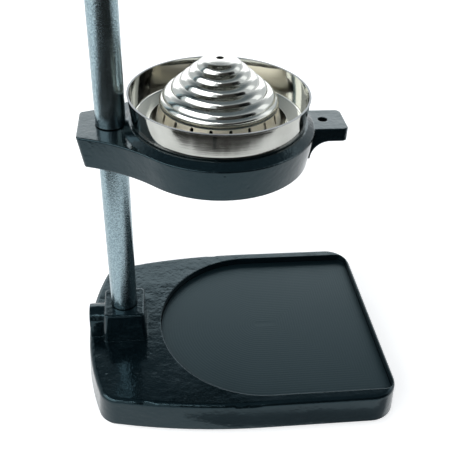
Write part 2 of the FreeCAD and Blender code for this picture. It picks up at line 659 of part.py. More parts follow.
def pinion_blank():
    """Involute spur gear about the Y axis, with a tooth pointing along X."""
    base_radius = PITCH_RADIUS * math.cos(PRESSURE_ANGLE)
    root_radius = PITCH_RADIUS - 1.25 * MODULE
    start_radius = max(base_radius, root_radius) + 0.01
    tooth_half = (0.25 * math.pi * MODULE - 0.5 * FLANK_GAP) / PITCH_RADIUS
    offset = tooth_half + math.tan(PRESSURE_ANGLE) - PRESSURE_ANGLE
    low, low_root, low_tip = involute_edge(base_radius, start_radius, tip_radius, offset, -1)
    high, high_root, high_tip = involute_edge(base_radius, start_radius, tip_radius, offset, 1)
    sink = root_radius - 1.0
    ends = [V(sink, 0, low_root.z), V(sink, 0, high_root.z)]
    tip = arc(low_tip, V(tip_radius, 0, 0), high_tip)
    tooth = Part.Face(Part.Wire([
        Part.makeLine(ends[0], low_root), low, tip, high,
        Part.makeLine(high_root, ends[1]), Part.makeLine(ends[1], ends[0])]))
    tooth = tooth.extrude(V(0, GEAR_WIDTH, 0))
    teeth = []
    for i in range(PINION_TEETH):
        copy = tooth.copy()
        copy.rotate(V(0, 0, 0), Y_DIR, i * 360.0 / PINION_TEETH)
        teeth.append(copy)
    wheel = Part.makeCylinder(root_radius, GEAR_WIDTH, V(0, 0, 0), Y_DIR)
    return wheel.fuse(teeth).removeSplitter()


# Pinion: steel spur gear keyed on the shaft, with a thinned web
half_gear = 0.5 * GEAR_WIDTH
pinion = pinion_blank()
pinion.translate(V(PIVOT_X, -half_gear, PIVOT_Z))
web_out = PITCH_RADIUS - 8.0
web_in = SHAFT_RADIUS + 7.0
for y0, y1 in ((-half_gear - 1, -half_gear + 4), (half_gear - 4, half_gear + 1)):
    face = rod(web_out, V(PIVOT_X, y0, PIVOT_Z), V(PIVOT_X, y1, PIVOT_Z))
    pinion = pinion.cut(face.cut(rod(web_in, V(PIVOT_X, y0, PIVOT_Z), V(PIVOT_X, y1, PIVOT_Z))))
key_half = 2.5
key_low = PIVOT_Z + SHAFT_RADIUS - key_half
key = block(PIVOT_X - key_half, PIVOT_X + key_half, -half_gear, half_gear, key_low, key_low + 2 * key_half)
shaft_bore = rod(SHAFT_RADIUS, V(PIVOT_X, -60, PIVOT_Z), V(PIVOT_X, 60, PIVOT_Z))
pinion = pinion.cut(shaft_bore).cut(key)
save("pinion", pinion)
save("pinion_key", key)

# Pinion shaft: turned bar with a squared end for the lever, a threaded tip and a ring groove
ring_y = cover_face + 0.8
hub_in = -cover_face - 0.8
hub_out = LEVER_Y - 12.0
square = 5.6
shaft = rod(SHAFT_RADIUS, V(PIVOT_X, hub_in, PIVOT_Z), V(PIVOT_X, ring_y + 4.0, PIVOT_Z))
shaft = shaft.makeChamfer(0.8, [e for e in shaft.Edges if e.BoundBox.YMin > ring_y + 3.9])
groove = rod(SHAFT_RADIUS + 2, V(PIVOT_X, ring_y, PIVOT_Z), V(PIVOT_X, ring_y + 1.5, PIVOT_Z))
groove_floor = rod(SHAFT_RADIUS - 1, V(PIVOT_X, ring_y - 1, PIVOT_Z), V(PIVOT_X, ring_y + 3, PIVOT_Z))
shaft = shaft.cut(groove.cut(groove_floor)).cut(key)
stud_y = hub_out - 12.0
squared = block(PIVOT_X - square, PIVOT_X + square, hub_out, hub_in + 1, PIVOT_Z - square, PIVOT_Z + square)
squared = squared.common(rod(SHAFT_RADIUS - 0.6, V(PIVOT_X, hub_out, PIVOT_Z),
                             V(PIVOT_X, hub_in + 1, PIVOT_Z)))
leaning = squared.copy()
leaning.rotate(V(PIVOT_X, 0, PIVOT_Z), Y_DIR, -LEVER_LEAN)
shaft = shaft.fuse([leaning, rod(5.0, V(PIVOT_X, stud_y, PIVOT_Z), V(PIVOT_X, hub_out + 1, PIVOT_Z))])
shaft = shaft.removeSplitter()

# Retaining ring: spring steel, snapped in the groove outside the cover
ring = groove.cut(groove_floor)
ring = ring.fuse(rod(SHAFT_RADIUS + 3, V(PIVOT_X, ring_y, PIVOT_Z), V(PIVOT_X, ring_y + 1.5, PIVOT_Z))
                 .cut(rod(SHAFT_RADIUS + 1, V(PIVOT_X, ring_y, PIVOT_Z), V(PIVOT_X, ring_y + 1.5, PIVOT_Z))))
ring = ring.removeSplitter()
ring = ring.cut(block(PIVOT_X - 2.5, PIVOT_X + 2.5, ring_y - 1, ring_y + 3, PIVOT_Z - 20, PIVOT_Z))

# Lever: hub on the shaft's square, rod screwed in the hub, grip on the rod; drawn upright
hub = rod(18.0, V(PIVOT_X, hub_out, PIVOT_Z), V(PIVOT_X, hub_in, PIVOT_Z))
hub = hub.makeFillet(1.5, [e for e in hub.Edges if e.BoundBox.YMax < hub_out + 0.01])
collar = rod(LEVER_ROD + 4.0, V(PIVOT_X, LEVER_Y, PIVOT_Z + 5), V(PIVOT_X, LEVER_Y, PIVOT_Z + 40))
collar = collar.makeFillet(1.5, [e for e in collar.Edges if e.BoundBox.ZMin > PIVOT_Z + 39.9])
rod_start = PIVOT_Z + 22.0
rod_bore = rod(LEVER_ROD, V(PIVOT_X, LEVER_Y, rod_start), V(PIVOT_X, LEVER_Y, PIVOT_Z + 50))
hub = hub.fuse(collar).removeSplitter().cut([squared, rod_bore])
grip_low = PIVOT_Z + LEVER_LENGTH - GRIP_LENGTH
rod_end = PIVOT_Z + LEVER_LENGTH - 0.07 * GRIP_LENGTH
lever_rod = rod(LEVER_ROD, V(PIVOT_X, LEVER_Y, rod_start), V(PIVOT_X, LEVER_Y, rod_end))
lever_rod = lever_rod.makeChamfer(0.8, lever_rod.Edges[0:1])
grip_neck = GRIP_RADIUS - 3.0
grip_swell = GRIP_LENGTH - GRIP_RADIUS
grip_waist = V(GRIP_RADIUS - 1.2, 0, 0.45 * GRIP_LENGTH)
cap_mid = GRIP_RADIUS * math.sqrt(0.5)
grip_face = Part.Face(Part.Wire([
    Part.makeLine(V(0, 0, 0), V(grip_neck, 0, 0)),
    arc(V(grip_neck, 0, 0), grip_waist, V(GRIP_RADIUS, 0, grip_swell)),
    arc(V(GRIP_RADIUS, 0, grip_swell), V(cap_mid, 0, grip_swell + cap_mid), V(0, 0, GRIP_LENGTH)),
    Part.makeLine(V(0, 0, GRIP_LENGTH), V(0, 0, 0)),
]))
grip = grip_face.revolve(V(0, 0, 0), Z_DIR, 360)
grip.translate(V(PIVOT_X, LEVER_Y, grip_low))
grip = grip.cut(rod(LEVER_ROD, V(PIVOT_X, LEVER_Y, grip_low - 1), V(PIVOT_X, LEVER_Y, rod_end)))
nut_in = hub_out - 2.0
nut_out = nut_in - 8.0
thread = rod(5.0, V(PIVOT_X, stud_y, PIVOT_Z), V(PIVOT_X, 0, PIVOT_Z))
washer_radius = SHAFT_RADIUS + 3.0
nut_across = 2.0 * SHAFT_RADIUS + 1.0
lever_washer = rod(washer_radius, V(PIVOT_X, nut_in, PIVOT_Z), V(PIVOT_X, hub_out, PIVOT_Z)).cut(thread)
lever_nut = hexagon(nut_across, V(PIVOT_X, nut_out, PIVOT_Z), V(PIVOT_X, nut_in, PIVOT_Z)).cut(thread)
lever_parts = {"lever_hub": hub, "lever_rod": lever_rod, "lever_grip": grip, "lever_washer": lever_washer,
               "lever_nut": lever_nut, "pinion_shaft": shaft, "shaft_retaining_ring": ring}
for name, shape in lever_parts.items():
    if name not in ("pinion_shaft", "shaft_retaining_ring"):
        shape.rotate(V(PIVOT_X, 0, PIVOT_Z), Y_DIR, -LEVER_LEAN)
    save(name, shape)

# Rack bar: steel bar with straight-sided teeth towards the pinion and a stud at its foot
pitch = math.pi * MODULE
tooth_half = 0.25 * pitch - 0.5 * FLANK_GAP
lean = math.tan(PRESSURE_ANGLE)
tip_x = RACK_PITCH_X - MODULE
root_x = RACK_PITCH_X + 1.25 * MODULE
rack_half = POCKET_HALF - SLIDE_GAP
rack = block(tip_x, RACK_BACK_X, -rack_half, rack_half, BELL_TOP, RACK_TOP)
gap_tip = 0.5 * pitch - tooth_half + MODULE * lean
gap_root = 0.5 * pitch - tooth_half - 1.25 * MODULE * lean
mesh_reach = math.sqrt(tip_radius ** 2 - (PITCH_RADIUS - MODULE) ** 2)
first = -math.ceil(mesh_reach / pitch)
last = math.ceil((TRAVEL + mesh_reach) / pitch)
spaces = []
for i in range(first, last + 1):
    z = PIVOT_Z + i * pitch
    corners = [V(tip_x - 1, 0, z - gap_tip), V(tip_x, 0, z - gap_tip), V(root_x, 0, z - gap_root),
               V(root_x, 0, z + gap_root), V(tip_x, 0, z + gap_tip), V(tip_x - 1, 0, z + gap_tip)]
    space = Part.Face(Part.makePolygon(corners + corners[:1])).extrude(V(0, 2 * rack_half + 2, 0))
    space.translate(V(0, -rack_half - 1, 0))
    spaces.append(space)
rack = rack.cut(spaces)
bell_roof = BELL_TOP - BELL_ROOF - 3.0
nut_height = 4.5
stud_end = bell_roof - nut_height + 0.3
rack = rack.fuse(rod(BELL_STUD, V(BOWL_X, 0, stud_end), V(BOWL_X, 0, BELL_TOP + 1))).removeSplitter()
stop_screw_radius = 3.0
stop_screw_depth = 15.0
stop_bore = rod(stop_screw_radius, V(BOWL_X, 0, RACK_TOP - stop_screw_depth - 1),
                V(BOWL_X, 0, RACK_TOP + stop_screw_depth))
rack = rack.cut(stop_bore)
save("rack_bar", rack)

# Rack stop: washer and cap screw on top of the rack, landing on the guide at the end of the stroke
stop_top = RACK_TOP + 3.0
stop_washer_radius = 5.0 * stop_screw_radius
stop_washer = rod(stop_washer_radius, V(BOWL_X, 0, RACK_TOP), V(BOWL_X, 0, stop_top))
washer_edge = [e for e in stop_washer.Edges if e.BoundBox.ZMin > stop_top - 0.01]
stop_washer = stop_washer.makeChamfer(0.6, washer_edge)
save("rack_stop_washer", stop_washer.cut(stop_bore))
stop_screw = rod(5.0, V(BOWL_X, 0, stop_top), V(BOWL_X, 0, stop_top + 6))
stop_screw = stop_screw.makeChamfer(0.6, [e for e in stop_screw.Edges if e.BoundBox.ZMin > stop_top + 5.9])
stop_screw = stop_screw.cut(hexagon(5.0, V(BOWL_X, 0, stop_top + 3), V(BOWL_X, 0, stop_top + 8)))
stop_screw = stop_screw.fuse(rod(stop_screw_radius, V(BOWL_X, 0, RACK_TOP - stop_screw_depth),
                                 V(BOWL_X, 0, stop_top + 1)))
save("rack_stop_screw", stop_screw.removeSplitter())

# Press bell: cast and polished bell with a boss for the rack, and the dome nut inside it
bell_in = BELL_RADIUS - BELL_WALL
boss_low = BELL_TOP - 4.0


def bell_curve(radius, crown, rise, base):
    """Side of the bell as an arc from the rim to the crown."""
    mid = V(BOWL_X + 0.5 * (radius + crown) + 3.2, 0, base + 0.5 * rise + 2.6)
    return arc(V(BOWL_X + radius, 0, base), mid, V(BOWL_X + crown, 0, base + rise))


outside = bell_curve(BELL_RADIUS, BELL_CROWN + BELL_WALL, boss_low - BELL_RIM, BELL_RIM)
inside = bell_curve(bell_in, BELL_CROWN, bell_roof - BELL_RIM, BELL_RIM)
bell_path = [V(BOWL_X + r, 0, z) for r, z in (
    (BELL_CROWN + BELL_WALL, boss_low), (BELL_BOSS, boss_low), (BELL_BOSS, BELL_TOP), (BELL_STUD, BELL_TOP),
    (BELL_STUD, bell_roof), (BELL_CROWN, bell_roof))]
bell_sides = [Part.makeLine(a, b) for a, b in zip(bell_path[:-1], bell_path[1:])]
bell_lip = Part.makeLine(V(BOWL_X + bell_in, 0, BELL_RIM), V(BOWL_X + BELL_RADIUS, 0, BELL_RIM))
bell_face = Part.Face(Part.Wire([outside] + bell_sides + [inside, bell_lip]))
bell = bell_face.revolve(V(BOWL_X, 0, 0), Z_DIR, 360)
save("press_bell", bell)
nut_face = bell_roof - nut_height
bell_nut = hexagon(15.0, V(BOWL_X, 0, nut_face), V(BOWL_X, 0, bell_roof))
dome = Part.makeSphere(7.0, V(BOWL_X, 0, nut_face + 4.0))
dome = dome.common(block(BOWL_X - 10, BOWL_X + 10, -10, 10, nut_face - 10, nut_face + 0.5))
bell_nut = bell_nut.fuse(dome).removeSplitter()
bell_nut = bell_nut.cut(rod(BELL_STUD, V(BOWL_X, 0, stud_end), V(BOWL_X, 0, bell_roof + 1)))
save("bell_nut", bell_nut)
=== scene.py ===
import math

import bmesh
import bpy
from mathutils import Matrix, Vector


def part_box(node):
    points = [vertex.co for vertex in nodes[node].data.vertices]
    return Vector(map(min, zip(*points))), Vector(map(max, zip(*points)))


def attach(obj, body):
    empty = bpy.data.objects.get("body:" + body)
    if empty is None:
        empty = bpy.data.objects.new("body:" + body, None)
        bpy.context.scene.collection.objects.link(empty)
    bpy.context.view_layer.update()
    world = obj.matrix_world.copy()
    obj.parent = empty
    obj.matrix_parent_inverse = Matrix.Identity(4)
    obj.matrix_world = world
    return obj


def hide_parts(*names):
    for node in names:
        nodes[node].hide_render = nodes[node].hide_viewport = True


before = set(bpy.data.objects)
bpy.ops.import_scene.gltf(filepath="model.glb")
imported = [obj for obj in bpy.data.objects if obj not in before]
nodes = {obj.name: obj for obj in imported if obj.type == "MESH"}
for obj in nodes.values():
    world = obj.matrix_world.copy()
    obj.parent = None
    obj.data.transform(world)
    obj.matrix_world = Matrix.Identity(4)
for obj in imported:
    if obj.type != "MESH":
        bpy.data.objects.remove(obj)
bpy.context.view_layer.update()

# Base casting
# One piece of grey cast iron with a recessed top and a socket block for the post, coated all over
# with black stoved enamel. The thick coat shows as gloss with a soft orange peel over sand-cast skin.


def srgb(hex_colour):
    """Linear RGBA from an sRGB hex value."""
    channels = [int(hex_colour[i:i + 2], 16) / 255 for i in (1, 3, 5)]
    linear = [c / 12.92 if c <= 0.04045 else ((c + 0.055) / 1.055) ** 2.4 for c in channels]
    return (*linear, 1.0)


def feed(tree, node, inputs):
    """Links or sets a node's inputs, each given by its name or number."""
    for socket, value in inputs.items():
        if isinstance(value, bpy.types.NodeSocket):
            tree.links.new(value, node.inputs[socket])
        else:
            node.inputs[socket].default_value = value


def add(tree, kind, inputs=None, **settings):
    """Adds a node with its settings and feeds its inputs."""
    node = tree.nodes.new(kind)
    for name, value in settings.items():
        setattr(node, name, value)
    feed(tree, node, inputs or {})
    return node


def empty_tree(owner):
    """The node tree of a material or of the world, with nothing in it."""
    owner.use_nodes = True
    owner.node_tree.nodes.clear()
    return owner.node_tree


def new_material(name):
    """An empty material with its tree, its shader and each point of a piece at rest in millimetres."""
    material = bpy.data.materials.new(name)
    tree = empty_tree(material)
    shader = add(tree, "ShaderNodeBsdfPrincipled")
    add(tree, "ShaderNodeOutputMaterial", {"Surface": shader.outputs[0]})
    place = add(tree, "ShaderNodeTexCoord")
    mm = add(tree, "ShaderNodeVectorMath", {0: place.outputs["Object"], 1: (1000, 1000, 1000)},
             operation="MULTIPLY")
    return material, tree, shader, mm.outputs[0]


def dress(material, slot, *names):
    """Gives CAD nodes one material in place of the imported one."""
    for name in names:
        node = nodes[name]
        node.data.materials.clear()
        node.data.materials.append(material)


def black_enamel():
    """Stoved gloss enamel on sand-cast iron. It gives the eye a near black gloss whose reflections break up
    in a soft orange peel, over the low waves, small pits and faint pale grit of the casting."""
    peel_mm = 2.6
    wave_mm = 14.0
    pit_mm = 9.0
    haze_mm = 30.0
    # Moulding sand is about 0.3 mm, too fine for the render, so its flecks are drawn at 1.6 mm.
    fleck_mm = 1.6
    wave_share = 3.0
    relief = 0.00018
    edge_radius = 0.0011
    # The specular tint gives the gloss the cold cast of the photograph's light.
    material, tree, shader, mm = new_material("black_stoved_enamel_on_cast_iron")
    peel = add(tree, "ShaderNodeTexNoise", {"Vector": mm, "Scale": 1 / peel_mm, "Detail": 2.5,
                                            "Roughness": 0.55})
    waves = add(tree, "ShaderNodeTexNoise", {"Vector": mm, "Scale": 1 / wave_mm, "Detail": 2.0})
    pits = add(tree, "ShaderNodeTexVoronoi", {"Vector": mm, "Scale": 1 / pit_mm}, feature="F1")
    pit_depth = add(tree, "ShaderNodeMapRange", {"Value": pits.outputs["Distance"], "From Min": 0.0,
                                                 "From Max": 0.14, "To Min": -0.8, "To Max": 0.0})
    rolled = add(tree, "ShaderNodeMath", {0: waves.outputs[0], 1: wave_share, 2: peel.outputs[0]},
                 operation="MULTIPLY_ADD")
    height = add(tree, "ShaderNodeMath", {0: rolled.outputs[0], 1: pit_depth.outputs[0]}, operation="ADD")
    soft_edge = add(tree, "ShaderNodeBevel", {"Radius": edge_radius}, samples=6)
    bump = add(tree, "ShaderNodeBump", {"Height": height.outputs[0], "Strength": 0.75, "Distance": relief,
                                        "Normal": soft_edge.outputs[0]})
    haze = add(tree, "ShaderNodeTexNoise", {"Vector": mm, "Scale": 1 / haze_mm, "Detail": 5.0})
    roughness = add(tree, "ShaderNodeMapRange", {"Value": haze.outputs[0], "From Min": 0.3,
                                                 "From Max": 0.75, "To Min": 0.09, "To Max": 0.21})
    tone = add(tree, "ShaderNodeMix", {0: haze.outputs[0], 6: srgb("#02080b"), 7: srgb("#071015")},
               data_type="RGBA")
    sand = add(tree, "ShaderNodeTexNoise", {"Vector": mm, "Scale": 1 / fleck_mm, "Detail": 3.0,
                                            "Roughness": 0.65})
    fleck = add(tree, "ShaderNodeMapRange", {"Value": sand.outputs[0], "From Min": 0.46, "From Max": 0.72,
                                             "To Min": 0.0, "To Max": 1.0})
    flecked = add(tree, "ShaderNodeMix", {0: fleck.outputs[0], 6: tone.outputs[2], 7: srgb("#0e1a1f")},
                  data_type="RGBA")
    feed(tree, shader, {"Base Color": flecked.outputs[2], "Roughness": roughness.outputs[0],
                        "Normal": bump.outputs[0], "IOR": 1.52, "Specular Tint": srgb("#b6e2f0")})
    return material


enamel = black_enamel()
dress(enamel, "enamel", "base_casting")

# Drip mat
# A black vinyl mat pressed with fine ridges that follow its D outline, 2.2 mm apart. It lies loose in
# the recess of the base. The ridges show as faint lines on a satin ground.
mat_low, mat_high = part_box("drip_mat")
mat_radius = (mat_high.y - mat_low.y) / 2
mat_centre_x = mat_low.x + mat_radius
corner_radius = 0.0066
least_corner = 0.0003
ridge_pitch = 0.0022
ridge_height = 0.00004
plain_border = 0.0012
plain_middle = 0.002
mat_top = mat_high.z - ridge_height
# One ridge across: shares of its pitch, each with the share of its height there.
ridge_form = ((0.0, 0.0), (0.22, 0.75), (0.36, 1.0), (0.5, 0.75), (0.72, 0.0))
rear_steps = 72
corner_steps = 8


def d_loop(shape, inset, z):
    """One closed D of vertices: half circle to the rear, rounded corners to the front."""
    radius = mat_radius - inset
    front = mat_high.x - inset
    corner = max(corner_radius - inset, least_corner)
    spots = []
    for i in range(rear_steps + 1):
        angle = math.pi / 2 + math.pi * i / rear_steps
        spots.append((mat_centre_x + radius * math.cos(angle), radius * math.sin(angle)))
    for side in (-1, 1):
        for i in range(corner_steps + 1):
            turn = math.pi / 2 * i / corner_steps
            angle = turn - math.pi / 2 if side < 0 else turn
            spots.append((front - corner + corner * math.cos(angle),
                          side * (radius - corner) + corner * math.sin(angle)))
    return [shape.verts.new((x, y, z)) for x, y in spots]


def bridge(shape, inner, outer):
    """Joins two loops of as many vertices with a band of quads."""
    for i in range(len(inner)):
        j = (i + 1) % len(inner)
        shape.faces.new((inner[i], inner[j], outer[j], outer[i]))


def finish_mesh(shape, name, smooth_degrees):
    """Turns a bmesh into a scene object, shaded smooth up to an angle."""
    bmesh.ops.recalc_face_normals(shape, faces=shape.faces)
    mesh = bpy.data.meshes.new(name)
    shape.to_mesh(mesh)
    shape.free()
    mesh.shade_smooth()
    mesh.set_sharp_from_angle(angle=math.radians(smooth_degrees))
    piece = bpy.data.objects.new(name, mesh)
    bpy.context.scene.collection.objects.link(piece)
    return piece


mat_shape = bmesh.new()
loops = [d_loop(mat_shape, 0.0, mat_low.z), d_loop(mat_shape, 0.0, mat_top)]
for i in range(int((mat_radius - plain_middle) / ridge_pitch)):
    ridge_start = plain_border + i * ridge_pitch
    for across, rise in ridge_form:
        loops.append(d_loop(mat_shape, ridge_start + across * ridge_pitch, mat_top + rise * ridge_height))
for outer, inner in zip(loops[:-1], loops[1:]):
    bridge(mat_shape, inner, outer)
mat_shape.faces.new(loops[-1])
mat_shape.faces.new(reversed(loops[0]))
drip_mat = finish_mesh(mat_shape, "ribbed_drip_mat", smooth_degrees=50)


def pressed_vinyl():
    """Calendered black vinyl. It gives the eye a satin near black with a fine grain, a little paler and
    rougher in broad patches where glasses and cloths rub it."""
    # The real grain is about 0.2 mm, too fine for the render, so it is drawn at 0.5 mm.
    grain_mm = 0.5
    wear_mm = 45.0
    relief = 0.00006
    # It has the same cold specular tint as the enamel, a little stronger.
    material, tree, shader, mm = new_material("black_pressed_vinyl")
    grain = add(tree, "ShaderNodeTexNoise", {"Vector": mm, "Scale": 1 / grain_mm, "Detail": 2.0})
    bump = add(tree, "ShaderNodeBump", {"Height": grain.outputs[0], "Strength": 0.35, "Distance": relief})
    wear = add(tree, "ShaderNodeTexNoise", {"Vector": mm, "Scale": 1 / wear_mm, "Detail": 5.0})
    tone = add(tree, "ShaderNodeMix", {0: wear.outputs[0], 6: srgb("#0a1519"), 7: srgb("#0f1c21")},
               data_type="RGBA")
    roughness = add(tree, "ShaderNodeMapRange", {"Value": wear.outputs[0], "From Min": 0.3, "From Max": 0.7,
                                                 "To Min": 0.36, "To Max": 0.43})
    feed(tree, shader, {"Base Color": tone.outputs[2], "Roughness": roughness.outputs[0],
                        "Normal": bump.outputs[0], "IOR": 1.53, "Specular Tint": srgb("#b0e0ee")})
    return material


drip_mat.data.materials.append(pressed_vinyl())
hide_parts("drip_mat")
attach(drip_mat, "frame")

# Feet and their screws
# Four moulded rubber pads, matt and slightly dusty, each held by a zinc plated pan-head screw sunk in
# a counterbore so that only rubber touches the table.


def moulded_rubber():
    """Nitrile rubber from a spark-eroded mould. It gives the eye a matt black with a fine grain and pale
    dust caught in it."""
    grain_mm = 0.6
    dust_mm = 4.0
    relief = 0.0001
    material, tree, shader, mm = new_material("moulded_black_rubber")
    grain = add(tree, "ShaderNodeTexNoise", {"Vector": mm, "Scale": 1 / grain_mm, "Detail": 3.0})
    dust = add(tree, "ShaderNodeTexNoise", {"Vector": mm, "Scale": 1 / dust_mm, "Detail": 5.0})
    amount = add(tree, "ShaderNodeMapRange", {"Value": dust.outputs[0], "From Min": 0.5, "From Max": 0.8,
                                              "To Min": 0.0, "To Max": 0.35})
    tone = add(tree, "ShaderNodeMix", {0: amount.outputs[0], 6: srgb("#141618"), 7: srgb("#3c4042")},
               data_type="RGBA")
    bump = add(tree, "ShaderNodeBump", {"Height": grain.outputs[0], "Strength": 0.5, "Distance": relief})
    feed(tree, shader, {"Base Color": tone.outputs[2], "Roughness": 0.68, "Normal": bump.outputs[0],
                        "IOR": 1.52})
    return material


def zinc_plate():
    """Bright zinc on turned steel. It gives the eye a pale blue-grey gloss with dull spots. The turning
    marks are 0.25 mm apart, and on such small heads they only soften the gloss."""
    spot_mm = 2.5
    mark_mm = 0.25
    relief = 0.00005
    edge_radius = 0.0003
    material, tree, shader, mm = new_material("bright_zinc_plated_steel")
    spots = add(tree, "ShaderNodeTexNoise", {"Vector": mm, "Scale": 1 / spot_mm, "Detail": 4.0})
    marks = add(tree, "ShaderNodeTexNoise", {"Vector": mm, "Scale": 1 / mark_mm, "Detail": 1.0})
    tone = add(tree, "ShaderNodeMix", {0: spots.outputs[0], 6: srgb("#aeb4b8"), 7: srgb("#ccd0cf")},
               data_type="RGBA")
    roughness = add(tree, "ShaderNodeMapRange", {"Value": spots.outputs[0], "From Min": 0.3,
                                                 "From Max": 0.7, "To Min": 0.24, "To Max": 0.42})
    soft_edge = add(tree, "ShaderNodeBevel", {"Radius": edge_radius}, samples=4)
    bump = add(tree, "ShaderNodeBump", {"Height": marks.outputs[0], "Strength": 0.25, "Distance": relief,
                                        "Normal": soft_edge.outputs[0]})
    feed(tree, shader, {"Base Color": tone.outputs[2], "Roughness": roughness.outputs[0],
                        "Normal": bump.outputs[0], "Metallic": 1.0})
    return material


zinc = zinc_plate()
dress(moulded_rubber(), "rubber", "foot_rear_near", "foot_rear_far", "foot_front_near", "foot_front_far")
dress(zinc, "zinc_steel", "foot_screws")

# Post and its fixings
# A cold drawn steel bar, straightened and left bright. Drawing leaves it grainy, with fine lines along
# its length and small dull flecks. A washer, a thin nut and a set screw hold it in the base.


def drawn_steel(shade_line_heights_mm):
    """Cold drawn bright steel. It gives the eye a blue-grey metal with a grainy skin, faint lines along Z
    and duller patches. A dark line of painted shade lies just above each height where a casting grips it."""
    # Real grain and drawing lines are about 0.1 mm wide, so both are drawn coarser to show in the render.
    line_mm = 0.5
    grain_mm = 1.2
    patch_mm = 14.0
    line_stretch = 0.05
    line_share = 0.3
    shade_line_middle_mm = 0.3
    shade_line_half_mm = 0.5
    relief = 0.00016
    material, tree, shader, mm = new_material("cold_drawn_bright_steel")
    along = add(tree, "ShaderNodeVectorMath", {0: mm, 1: (1.0, 1.0, line_stretch)}, operation="MULTIPLY")
    lines = add(tree, "ShaderNodeTexNoise", {"Vector": along.outputs[0], "Scale": 1 / line_mm,
                                             "Detail": 2.0})
    grain = add(tree, "ShaderNodeTexNoise", {"Vector": mm, "Scale": 1 / grain_mm, "Detail": 3.0,
                                             "Roughness": 0.6})
    dull = add(tree, "ShaderNodeTexNoise", {"Vector": mm, "Scale": 1 / patch_mm, "Detail": 3.0})
    speck = add(tree, "ShaderNodeMapRange", {"Value": grain.outputs[0], "From Min": 0.35, "From Max": 0.68,
                                             "To Min": 0.0, "To Max": 1.0})
    tone = add(tree, "ShaderNodeMix", {0: speck.outputs[0], 6: srgb("#72868d"), 7: srgb("#9eb1b8")},
               data_type="RGBA").outputs[2]
    height_mm = add(tree, "ShaderNodeSeparateXYZ", {0: mm}).outputs["Z"]
    # Painted shade: a dark line just above each height where a casting grips the bar, for the shade in the
    # join.
    for shade_line_mm in shade_line_heights_mm:
        near = add(tree, "ShaderNodeMath", {0: height_mm, 1: shade_line_mm + shade_line_middle_mm, 2: shade_line_half_mm},
                   operation="COMPARE")
        tone = add(tree, "ShaderNodeMix", {0: near.outputs[0], 6: tone, 7: srgb("#15191b")},
                   data_type="RGBA").outputs[2]
    roughness = add(tree, "ShaderNodeMapRange", {"Value": dull.outputs[0], "From Min": 0.3, "From Max": 0.7,
                                                 "To Min": 0.16, "To Max": 0.25})
    height = add(tree, "ShaderNodeMath", {0: lines.outputs[0], 1: line_share, 2: grain.outputs[0]},
                 operation="MULTIPLY_ADD")
    bump = add(tree, "ShaderNodeBump", {"Height": height.outputs[0], "Strength": 0.7, "Distance": relief})
    feed(tree, shader, {"Base Color": tone, "Roughness": roughness.outputs[0], "Normal": bump.outputs[0],
                        "Metallic": 1.0})
    return material


# The conical collar of the ring stands this much above the top of the clamp on the post.
collar_rise = 0.0032
socket_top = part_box("base_casting")[1].z
bracket_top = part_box("ring_bracket")[1].z - collar_rise
bright_bar = drawn_steel((socket_top * 1000, bracket_top * 1000))
dress(bright_bar, "ground_steel", "post")
dress(zinc, "zinc_steel", "post_washer", "post_nut", "socket_set_screw")

# Ring bracket
# A second iron casting in the same enamel, slid on the post and locked by a set screw from behind. Its
# ring carries the bowl, and a drilled tab stands out at the front.
dress(enamel, "enamel", "ring_bracket")
dress(zinc, "zinc_steel", "bracket_set_screw")

# Funnel bowl and strainer cone
# Both are spun from stainless sheet and buffed on the lathe, so the fine marks run round the axis. The
# bowl drops in the ring, and the pierced cone stands on the bowl's ledge.
bowl_low, bowl_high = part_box("funnel_bowl")
bowl_axis_x = (bowl_low.x + bowl_high.x) / 2
trimmed_edge = 0.00025
cone_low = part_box("strainer_cone")[0]
skirt_height = 0.021


